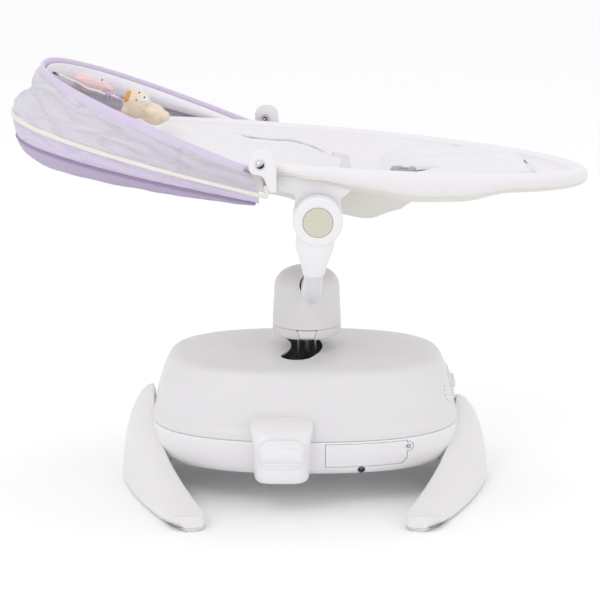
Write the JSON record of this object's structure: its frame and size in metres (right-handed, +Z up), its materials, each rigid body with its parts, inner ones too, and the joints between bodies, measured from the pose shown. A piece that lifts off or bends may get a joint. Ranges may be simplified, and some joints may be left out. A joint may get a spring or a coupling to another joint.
{
  "type": "baby swing",
  "caption": "Electric baby swing: oval powered base on crescent legs, a swinging pillar with a fork, a reclining oval hammock seat and a folding canopy with soft toys.",
  "frame": {"origin": "on the floor, under the middle of the whole swing's bounding box", "axes": "+Z up, +X along the seat towards the foot end, +Y across the seat, away from the side with the battery door"},
  "size_m": [0.824, 0.5, 0.617],
  "materials": {
    "white_plastic": "satin moulded",
    "grey_plastic": "satin moulded",
    "dark_plastic": "matte moulded",
    "button_beige": "fine textured",
    "buckle_grey": "satin moulded",
    "pad_rubber": "matte",
    "steel": "zinc plated",
    "painted_tube": "powder coated",
    "rivet_chrome": "polished",
    "gear_nylon": "moulded nylon",
    "circuit_board": "solder mask",
    "seat_fabric": "brushed knit",
    "webbing": "woven webbing",
    "canopy_fabric": "fine woven polyester",
    "canopy_net": "sheer mesh",
    "toy_pink": "short plush",
    "toy_cream": "short plush"
  },
  "bodies": {
    "base": {"base_upper_shell": "white_plastic", "base_lower_shell": "white_plastic", "side_block_near": "white_plastic", "side_block_far": "white_plastic", "side_pad_near": "white_plastic", "side_pad_far": "white_plastic", "leg_head_end": "white_plastic", "leg_foot_end": "white_plastic", "leg_pad_head_near": "pad_rubber", "leg_pad_head_far": "pad_rubber", "leg_pad_foot_near": "pad_rubber", "leg_pad_foot_far": "pad_rubber", "control_panel": "grey_plastic", "chassis_plate": "dark_plastic", "pivot_post": "steel", "gearmotor": "dark_plastic", "circuit_board": "circuit_board", "speaker": "dark_plastic", "battery_tray": "dark_plastic", "dc_jack": "dark_plastic"},
    "door": {"battery_door": "white_plastic", "door_screw": "steel"},
    "key_power": {"power_button": "white_plastic"},
    "key_speed": {"speed_button": "white_plastic"},
    "key_music": {"music_button": "white_plastic"},
    "key_timer": {"timer_button": "white_plastic"},
    "drive_pinion": {"pinion": "gear_nylon"},
    "swing": {"swing_arm": "steel", "sector_gear": "gear_nylon", "stem_channel": "steel", "stem_rod": "steel", "pillar_ring": "grey_plastic", "pillar_cover": "grey_plastic", "fork_tube": "painted_tube", "boot_near": "white_plastic", "boot_far": "white_plastic"},
    "latch": {"release_latch": "grey_plastic"},
    "disc_near": {"recline_button_near": "button_beige"},
    "disc_far": {"recline_button_far": "button_beige"},
    "seat": {"hinge_pin_near": "steel", "hinge_pin_far": "steel", "bracket_near": "white_plastic", "bracket_far": "white_plastic", "seat_frame": "painted_tube", "seat_cover": "seat_fabric", "waist_belt": "webbing", "crotch_buckle": "buckle_grey", "canopy_tab_near": "white_plastic", "canopy_tab_far": "white_plastic", "rivet_near": "rivet_chrome", "rivet_far": "rivet_chrome", "canopy_fold": "canopy_fabric"},
    "canopy_middle": {"bow_middle": "steel", "canopy_panel": "canopy_fabric"},
    "canopy_front": {"bow_front": "steel", "canopy_net": "canopy_net"},
    "toys": {"toy_strap": "webbing", "toy_rabbit": "toy_pink", "toy_bear": "toy_cream"}
  },
  "joints": [
    {"name": "swing_turn", "type": "hinge", "parent": "base", "child": "swing", "pos_m": [-0.117, 0, 0.14], "axis": [0, 0, 1], "range_deg": [-22, 22]},
    {"name": "pinion_spin", "type": "hinge", "parent": "base", "child": "drive_pinion", "pos_m": [-0.173, 0, 0.126], "axis": [0, 0, 1], "range_deg": [-90, 90]},
    {"name": "latch_press", "type": "slide", "parent": "swing", "child": "latch", "axis": [0, 1, 0], "range_m": [0, 0.002], "stiffness_N_per_m": 400},
    {"name": "disc_near_press", "type": "slide", "parent": "swing", "child": "disc_near", "axis": [0, 1, 0], "range_m": [0, 0.003], "stiffness_N_per_m": 500},
    {"name": "disc_far_press", "type": "slide", "parent": "swing", "child": "disc_far", "axis": [0, -1, 0], "range_m": [0, 0.003], "stiffness_N_per_m": 500},
    {"name": "recline", "type": "hinge", "parent": "swing", "child": "seat", "pos_m": [0.024, 0, 0.428], "axis": [0, 1, 0], "range_deg": [0, 35]},
    {"name": "canopy_middle_fold", "type": "hinge", "parent": "seat", "child": "canopy_middle", "pos_m": [-0.0535, 0, 0.505], "axis": [0, 1, 0], "range_deg": [0, 46], "deforming": ["canopy_panel"]},
    {"name": "canopy_front_fold", "type": "hinge", "parent": "canopy_middle", "child": "canopy_front", "pos_m": [-0.0535, 0, 0.505], "axis": [0, 1, 0], "range_deg": [0, 46], "deforming": ["canopy_net"]},
    {"name": "toy_hang", "type": "hinge", "parent": "canopy_front", "child": "toys", "pos_m": [-0.35, 0, 0.6], "axis": [0, 1, 0], "range_deg": [-60, 0]},
    {"name": "door_open", "type": "hinge", "parent": "base", "child": "door", "pos_m": [0.036, -0.158, 0.08], "axis": [0, 0, -1], "range_deg": [0, 85]},
    {"name": "key_power_press", "type": "slide", "parent": "base", "child": "key_power", "axis": [-1, 0, 0], "range_m": [0, 0.0012], "stiffness_N_per_m": 500},
    {"name": "key_speed_press", "type": "slide", "parent": "base", "child": "key_speed", "axis": [-1, 0, 0], "range_m": [0, 0.0012], "stiffness_N_per_m": 500},
    {"name": "key_music_press", "type": "slide", "parent": "base", "child": "key_music", "axis": [-1, 0, 0], "range_m": [0, 0.0012], "stiffness_N_per_m": 500},
    {"name": "key_timer_press", "type": "slide", "parent": "base", "child": "key_timer", "axis": [-1, 0, 0], "range_m": [0, 0.0012], "stiffness_N_per_m": 500}
  ],
  "couplings": [
    {"joint": "pinion_spin", "follows": "swing_turn", "ratio": -4},
    {"joint": "canopy_front_fold", "follows": "canopy_middle_fold", "ratio": 1}
  ]
}
